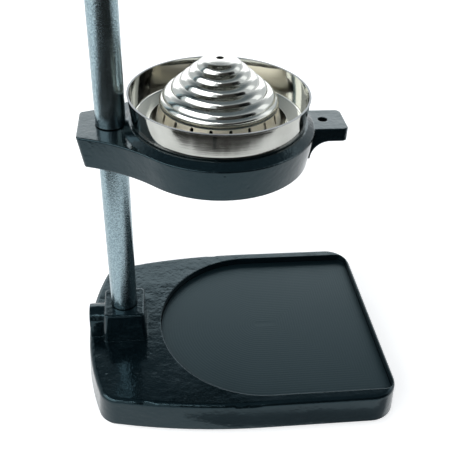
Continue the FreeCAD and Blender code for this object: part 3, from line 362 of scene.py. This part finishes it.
def spun_stainless(name, mark_mm, gloss, outer, inner, satin_below=0.0, trimmed_above=10000.0):
    """Spun and buffed stainless steel. It gives the eye a mirror with faint rings round the bowl's axis and
    clouds of buffing haze. Each side has its own colour, which paints the light and shade that side gets.
    Below one height in mm the wheel can't reach and the skin stays satin, and its pale warm cream is a
    painted reflection of the bowl round it. Above another the sheet shows its grey trimmed edge. Unless
    given, both heights are off the piece. Gloss is the least and the greatest roughness of the buffed
    skin, and outer and inner are the colours of the two sides, set apart as painted light and shade."""
    # Real buffing marks are under 0.1 mm apart. They are drawn at mark_mm, as coarse as they need to show.
    haze_mm = 16.0
    satin_fade_mm = 0.8
    relief = 0.00003
    unbuffed_roughness = 0.36
    material, tree, shader, mm = new_material(name)
    centred = add(tree, "ShaderNodeVectorMath", {0: mm, 1: (-bowl_axis_x * 1000, 0, 0)}, operation="ADD")
    parts = add(tree, "ShaderNodeSeparateXYZ", {0: centred.outputs[0]})
    flat = add(tree, "ShaderNodeCombineXYZ", {"X": parts.outputs["X"], "Y": parts.outputs["Y"]})
    radius = add(tree, "ShaderNodeVectorMath", {0: flat.outputs[0]}, operation="LENGTH")
    turned = add(tree, "ShaderNodeCombineXYZ", {"X": radius.outputs["Value"], "Y": parts.outputs["Z"]})
    rings = add(tree, "ShaderNodeTexNoise", {"Vector": turned.outputs[0], "Scale": 1 / mark_mm,
                                             "Detail": 2.0})
    haze = add(tree, "ShaderNodeTexNoise", {"Vector": mm, "Scale": 1 / haze_mm, "Detail": 5.0})
    mixed = add(tree, "ShaderNodeMath", {0: rings.outputs[0], 1: haze.outputs[0]}, operation="MULTIPLY")
    buffed = add(tree, "ShaderNodeMapRange", {"Value": mixed.outputs[0], "From Min": 0.12, "From Max": 0.42,
                                              "To Min": gloss[0], "To Max": gloss[1]})
    satin = add(tree, "ShaderNodeMapRange", {"Value": parts.outputs["Z"], "From Min": satin_below,
                                             "From Max": satin_below + satin_fade_mm, "To Min": 1.0,
                                             "To Max": 0.0})
    trimmed = add(tree, "ShaderNodeMath", {0: parts.outputs["Z"], 1: trimmed_above},
                  operation="GREATER_THAN")
    unbuffed = add(tree, "ShaderNodeMath", {0: satin.outputs[0], 1: trimmed.outputs[0]},
                   operation="MAXIMUM")
    roughness = add(tree, "ShaderNodeMix", {0: unbuffed.outputs[0], 2: buffed.outputs[0],
                                            3: unbuffed_roughness})
    bump = add(tree, "ShaderNodeBump", {"Height": rings.outputs[0], "Strength": 0.18, "Distance": relief})
    normal = add(tree, "ShaderNodeTexCoord").outputs["Normal"]
    outward = add(tree, "ShaderNodeVectorMath", {0: flat.outputs[0], 1: normal}, operation="DOT_PRODUCT")
    outside = add(tree, "ShaderNodeMath", {0: outward.outputs["Value"], 1: 0.0}, operation="GREATER_THAN")
    # Painted light and shade: the outer and the inner side of the sheet each get their own colour.
    sides = add(tree, "ShaderNodeMix", {0: outside.outputs[0], 6: srgb(inner), 7: srgb(outer)},
                data_type="RGBA")
    hazed = add(tree, "ShaderNodeMix", {0: haze.outputs[0], 6: sides.outputs[2], 7: srgb("#c9cac5")},
                data_type="RGBA")
    # Painted reflection: below the given height the satin skin is painted a pale warm cream.
    pale = add(tree, "ShaderNodeMix", {0: satin.outputs[0], 6: hazed.outputs[2], 7: srgb("#fff8ea")},
               data_type="RGBA")
    tone = add(tree, "ShaderNodeMix", {0: trimmed.outputs[0], 6: pale.outputs[2], 7: srgb("#777b7d")},
               data_type="RGBA")
    feed(tree, shader, {"Base Color": tone.outputs[2], "Roughness": roughness.outputs[0],
                        "Normal": bump.outputs[0], "Metallic": 1.0})
    return material


bowl_steel = spun_stainless("spun_buffed_stainless_bowl", 0.7, (0.04, 0.13), "#969791", "#c6c6c0",
                            trimmed_above=(bowl_high.z - trimmed_edge) * 1000)
# Below the top of its skirt the cone is satin, painted a pale warm cream as a reflection of the bowl.
cone_steel = spun_stainless("spun_buffed_stainless_cone", 0.5, (0.11, 0.22), "#b4b6b2", "#8a8b87",
                            satin_below=(cone_low.z + skirt_height) * 1000)
dress(bowl_steel, "polished_steel", "funnel_bowl")
dress(cone_steel, "polished_steel", "strainer_cone")

# Head casting, cover and bushes
# The head is enamelled iron like the base. Its far side is closed by an enamelled plate on socket
# screws, and the shaft turns in two bronze bushes.


def sintered_bronze():
    """Bronze powder pressed, sintered and filled with oil. It gives the eye a dull brown-gold metal with
    fine dark pores."""
    pore_mm = 0.4
    relief = 0.00006
    material, tree, shader, mm = new_material("sintered_bronze")
    pores = add(tree, "ShaderNodeTexNoise", {"Vector": mm, "Scale": 1 / pore_mm, "Detail": 3.0})
    tone = add(tree, "ShaderNodeMix", {0: pores.outputs[0], 6: srgb("#7a5a34"), 7: srgb("#b58f5a")},
               data_type="RGBA")
    bump = add(tree, "ShaderNodeBump", {"Height": pores.outputs[0], "Strength": 0.4, "Distance": relief})
    feed(tree, shader, {"Base Color": tone.outputs[2], "Roughness": 0.38, "Normal": bump.outputs[0],
                        "Metallic": 1.0})
    return material


dress(enamel, "enamel", "head_casting", "head_cover")
dress(zinc, "zinc_steel", "cover_screws", "head_set_screws")
dress(sintered_bronze(), "bronze", "shaft_bush_near", "shaft_bush_far")

# Pinion, key, shaft and rack
# Cut from carbon steel and left as machined under a film of oil: darker than the post, with hobbing
# and milling marks across the teeth.


def milled_steel():
    """Milled carbon steel under oil. It gives the eye a mid grey metal with fine cutter marks across the
    teeth and darker oily patches."""
    # Cutter marks are near 0.1 mm apart, and are drawn at 0.35 mm so that they break up the gloss.
    mark_mm = 0.35
    oil_mm = 9.0
    mark_stretch = 0.08
    relief = 0.00006
    edge_radius = 0.0003
    material, tree, shader, mm = new_material("milled_oiled_carbon_steel")
    across = add(tree, "ShaderNodeVectorMath", {0: mm, 1: (1.0, mark_stretch, 1.0)}, operation="MULTIPLY")
    marks = add(tree, "ShaderNodeTexNoise", {"Vector": across.outputs[0], "Scale": 1 / mark_mm,
                                             "Detail": 2.0})
    oil = add(tree, "ShaderNodeTexNoise", {"Vector": mm, "Scale": 1 / oil_mm, "Detail": 4.0})
    tone = add(tree, "ShaderNodeMix", {0: oil.outputs[0], 6: srgb("#6d7072"), 7: srgb("#a3a7a8")},
               data_type="RGBA")
    roughness = add(tree, "ShaderNodeMapRange", {"Value": oil.outputs[0], "From Min": 0.3, "From Max": 0.7,
                                                 "To Min": 0.22, "To Max": 0.38})
    soft_edge = add(tree, "ShaderNodeBevel", {"Radius": edge_radius}, samples=4)
    bump = add(tree, "ShaderNodeBump", {"Height": marks.outputs[0], "Strength": 0.35, "Distance": relief,
                                        "Normal": soft_edge.outputs[0]})
    feed(tree, shader, {"Base Color": tone.outputs[2], "Roughness": roughness.outputs[0],
                        "Normal": bump.outputs[0], "Metallic": 1.0})
    return material


dress(milled_steel(), "machined_steel", "pinion", "pinion_key", "pinion_shaft", "shaft_retaining_ring",
      "rack_bar")
dress(zinc, "zinc_steel", "rack_stop_washer", "rack_stop_screw", "bell_nut")

# Lever
# An enamelled hub on the shaft's square end, a bright drawn steel rod screwed in it, and a moulded black
# grip on the rod. A washer and a nut hold the hub on the shaft.


def moulded_plastic():
    """Compression moulded phenolic. It gives the eye a deep black half gloss with a faint flow texture."""
    flow_mm = 6.0
    relief = 0.00008
    material, tree, shader, mm = new_material("moulded_black_phenolic")
    flow = add(tree, "ShaderNodeTexNoise", {"Vector": mm, "Scale": 1 / flow_mm, "Detail": 3.0})
    bump = add(tree, "ShaderNodeBump", {"Height": flow.outputs[0], "Strength": 0.2, "Distance": relief})
    tone = add(tree, "ShaderNodeMix", {0: flow.outputs[0], 6: srgb("#0c0c0d"), 7: srgb("#161618")},
               data_type="RGBA")
    roughness = add(tree, "ShaderNodeMapRange", {"Value": flow.outputs[0], "From Min": 0.3, "From Max": 0.7,
                                                 "To Min": 0.18, "To Max": 0.3})
    feed(tree, shader, {"Base Color": tone.outputs[2], "Roughness": roughness.outputs[0],
                        "Normal": bump.outputs[0], "IOR": 1.54})
    return material


dress(enamel, "enamel", "lever_hub")
dress(bright_bar, "ground_steel", "lever_rod")
dress(moulded_plastic(), "grip", "lever_grip")
dress(zinc, "zinc_steel", "lever_washer", "lever_nut")

# Press bell
# Cast in stainless steel, turned and then polished on the lathe. It hangs on the rack by its nut, over
# the axis of the bowl, and its marks are a little deeper than the bowl's.
bell_steel = spun_stainless("turned_polished_stainless_bell", 0.6, (0.06, 0.16), "#b9bab5", "#a7a8a3")
dress(bell_steel, "polished_steel", "press_bell")

# Studio floor
# A pale seamless sheet. What the camera and the metal see of it is lifted to white by the light path,
# and the object's soft shadow stays in its diffuse part.
floor_radius = 7.0
floor_sides = 96
floor_drop = 0.0002
floor_shape = bmesh.new()
bmesh.ops.create_circle(floor_shape, cap_ends=True, segments=floor_sides, radius=floor_radius)
floor = finish_mesh(floor_shape, "studio_floor", smooth_degrees=30)
floor.location.z = -floor_drop


def seen_by_eye_or_gloss(tree):
    """1 for camera, glossy and transmission rays, else 0."""
    path = add(tree, "ShaderNodeLightPath")
    eye = add(tree, "ShaderNodeMath", {0: path.outputs["Is Camera Ray"], 1: path.outputs["Is Glossy Ray"]},
              operation="MAXIMUM")
    return add(tree, "ShaderNodeMath", {0: eye.outputs[0], 1: path.outputs["Is Transmission Ray"]},
               operation="MAXIMUM").outputs[0]


def floor_paper():
    """Matt white background paper. It gives the eye plain white with a soft shadow. It is lifted more with
    its distance from the press, as the lamps fade there."""
    lift_start = 0.6
    lift_end = 2.6
    least_lift = 0.66
    material = bpy.data.materials.new("matt_background_paper")
    tree = empty_tree(material)
    paper = add(tree, "ShaderNodeBsdfDiffuse", {"Color": srgb("#e6e8ea")})
    place = add(tree, "ShaderNodeTexCoord")
    distance = add(tree, "ShaderNodeVectorMath", {0: place.outputs["Object"]}, operation="LENGTH")
    whitening = add(tree, "ShaderNodeMapRange", {"Value": distance.outputs["Value"], "From Min": lift_start,
                                                 "From Max": lift_end, "To Min": least_lift, "To Max": 1.0})
    lift = add(tree, "ShaderNodeMath", {0: seen_by_eye_or_gloss(tree), 1: whitening.outputs[0]},
               operation="MULTIPLY")
    glow = add(tree, "ShaderNodeEmission", {"Color": srgb("#ffffff"), "Strength": lift.outputs[0]})
    both = add(tree, "ShaderNodeAddShader", {0: paper.outputs[0], 1: glow.outputs[0]})
    add(tree, "ShaderNodeOutputMaterial", {"Surface": both.outputs[0]})
    return material


floor.data.materials.append(floor_paper())

# Studio walls and ceiling
# A white sweep under a dimmer ceiling, painted in the world. The camera sees plain white, while metal
# and enamel see the white of the sweep fall off towards the ceiling.
world = bpy.data.worlds.new("white_sweep")
bpy.context.scene.world = world
tree = empty_tree(world)
# The sweep darkens between these two heights on a unit sphere of directions.
ceiling_start = 0.50
ceiling_full = 0.80
# Matt surfaces are lit by this share of what the eye and gloss see.
matt_share = 0.45
way = add(tree, "ShaderNodeTexCoord")
way_parts = add(tree, "ShaderNodeSeparateXYZ", {0: way.outputs["Generated"]})
ceiling = add(tree, "ShaderNodeMapRange", {"Value": way_parts.outputs["Z"], "From Min": ceiling_start,
                                           "From Max": ceiling_full, "To Min": 0.0, "To Max": 1.0},
              interpolation_type="SMOOTHSTEP")
sweep = add(tree, "ShaderNodeMix", {0: ceiling.outputs[0], 6: srgb("#edf2f5"), 7: srgb("#717c82")},
            data_type="RGBA")
path = add(tree, "ShaderNodeLightPath")
seen = add(tree, "ShaderNodeMix", {0: path.outputs["Is Camera Ray"], 6: sweep.outputs[2],
                                   7: srgb("#ffffff")}, data_type="RGBA")
level = add(tree, "ShaderNodeMapRange", {"Value": seen_by_eye_or_gloss(tree), "From Min": 0.0,
                                         "From Max": 1.0, "To Min": matt_share, "To Max": 1.0})
light = add(tree, "ShaderNodeBackground", {"Color": seen.outputs[2], "Strength": level.outputs[0]})
add(tree, "ShaderNodeOutputWorld", {"Surface": light.outputs[0]})

# Dark things in front of the paper
# In reflections the paper ends 0.3 m in front of the middle of the press. Beyond it, under and behind
# the camera, lies an unlit room with a stand and a doorway. Cloth cards stand for them, seen only in gloss.


def card(name, corners, colour):
    """A flat sheet of one dull colour that shows only in reflections."""
    shape = bmesh.new()
    shape.faces.new([shape.verts.new(corner) for corner in corners])
    sheet = finish_mesh(shape, name, smooth_degrees=30)
    material = bpy.data.materials.new(name + "_cloth")
    tree = empty_tree(material)
    cloth = add(tree, "ShaderNodeBsdfDiffuse", {"Color": srgb(colour)})
    add(tree, "ShaderNodeOutputMaterial", {"Surface": cloth.outputs[0]})
    sheet.data.materials.append(material)
    sheet.visible_camera = False
    sheet.visible_diffuse = False
    sheet.visible_shadow = False


def lying(outline, height):
    """Corners of a card that lies at one height."""
    return [(x, y, height) for x, y in outline]


def upright(start, end, foot, top):
    """Corners of a card that stands on the line from start to end."""
    return [(*start, foot), (*end, foot), (*end, top), (*start, top)]


# The paper's near edge, from left to right. Its points are set so that the edge shows as the lower
# border of the dark patch on the near side of the bowl.
paper_edge = [(-0.62, 0.02), (-0.40, -0.10), (-0.315, -0.157), (-0.213, -0.246), (-0.140, -0.278),
              (-0.086, -0.296), (-0.02, -0.303), (0.044, -0.299), (0.11, -0.283), (0.173, -0.255),
              (0.255, -0.200), (0.33, -0.12), (0.62, 0.02)]
room_corners = [(1.4, -1.7), (-0.9, -1.7)]
dark_floor_height = 0.0004
card("dark_floor", lying(paper_edge + room_corners, dark_floor_height), "#474543")

# The paper in the shade of the base, which darkens a long streak of the base's near side.
base_shade = [(-0.050, -0.106), (-0.015, -0.112), (0.06, -0.112), (0.135, -0.106), (0.135, -0.088),
              (0.06, -0.0965), (-0.015, -0.0975)]
shade_height = 0.0003
card("shaded_paper", lying(base_shade, shade_height), "#d6dbdf")

# The stand is a narrow strip over the dark floor, and shows as a dark line on the bowl's side.
stand_outline = [(-0.082, -0.300), (-0.058, -0.302), (-0.03, -0.9), (-0.12, -0.9)]
stand_height = 0.0006
card("camera_stand", lying(stand_outline, stand_height), "#1d1f21")

# The room's far side and its doorway, which is the darkest thing that the steel shows.
card("dark_room", upright((-0.26, -1.22), (1.25, -0.45), 0.0, 0.95), "#45423e")
card("dark_doorway", upright((0.62, -0.76), (1.22, -0.45), 0.1, 0.9), "#101415")

# Lamps
# A wide soft box at the front left with a bright strip lamp over it, which draws the thin lines along
# the enamelled edges, a wide soft box behind, and a weak one at the right.
lamp_aim = Vector((0, 0, 0.2))


def soft_box(name, place, size, radiance):
    """A rectangular soft box aimed at the middle of the press; its watts follow from radiance and area."""
    lamp = bpy.data.lights.new(name, "AREA")
    lamp.shape = "RECTANGLE"
    lamp.size, lamp.size_y = size
    lamp.energy = radiance * math.pi * size[0] * size[1]
    holder = bpy.data.objects.new(name, lamp)
    holder.location = place
    holder.rotation_euler = (lamp_aim - holder.location).to_track_quat("-Z", "Y").to_euler()
    holder.visible_camera = False
    bpy.context.scene.collection.objects.link(holder)


soft_box("soft_box_left", (-0.975, -0.61, 0.80), (1.5, 0.75), 2.7)
soft_box("strip_lamp_left", (-0.67, -0.60, 1.16), (2.0, 0.045), 14.0)
soft_box("soft_box_back", (0.0, 1.35, 0.72), (2.2, 0.8), 1.8)
soft_box("soft_box_right", (1.3, 0.25, 0.8), (0.5, 0.8), 0.9)

# Camera
# It stands close and looks down on the bowl. Its place, turn and lens were solved from edges of the
# photograph: the base outline, the bowl's rim, the ring and the post. Angles are in radians.
camera_place = Vector((-0.0590, -0.4061, 0.4224))
camera_heading = -0.122
camera_down = 0.624
camera_roll = 0.036
focal_pixels = 676.94
frame_pixels = 450.0
sensor_mm = 36.0
nearest_seen = 0.01
ahead = Vector((-math.sin(camera_heading) * math.cos(camera_down),
                math.cos(camera_heading) * math.cos(camera_down), -math.sin(camera_down)))
level_right = Vector((math.cos(camera_heading), math.sin(camera_heading), 0))
level_up = level_right.cross(ahead)
right = math.cos(camera_roll) * level_right + math.sin(camera_roll) * level_up
up = math.cos(camera_roll) * level_up - math.sin(camera_roll) * level_right
camera_data = bpy.data.cameras.new("photo_camera")
camera_data.sensor_width = sensor_mm
camera_data.lens = focal_pixels / frame_pixels * sensor_mm
camera_data.clip_start = nearest_seen
camera = bpy.data.objects.new("photo_camera", camera_data)
turn = Matrix((right, up, -ahead)).transposed()
camera.matrix_world = Matrix.Translation(camera_place) @ turn.to_4x4()
bpy.context.scene.collection.objects.link(camera)
bpy.context.scene.camera = camera
bpy.context.scene.view_settings.view_transform = "Standard"
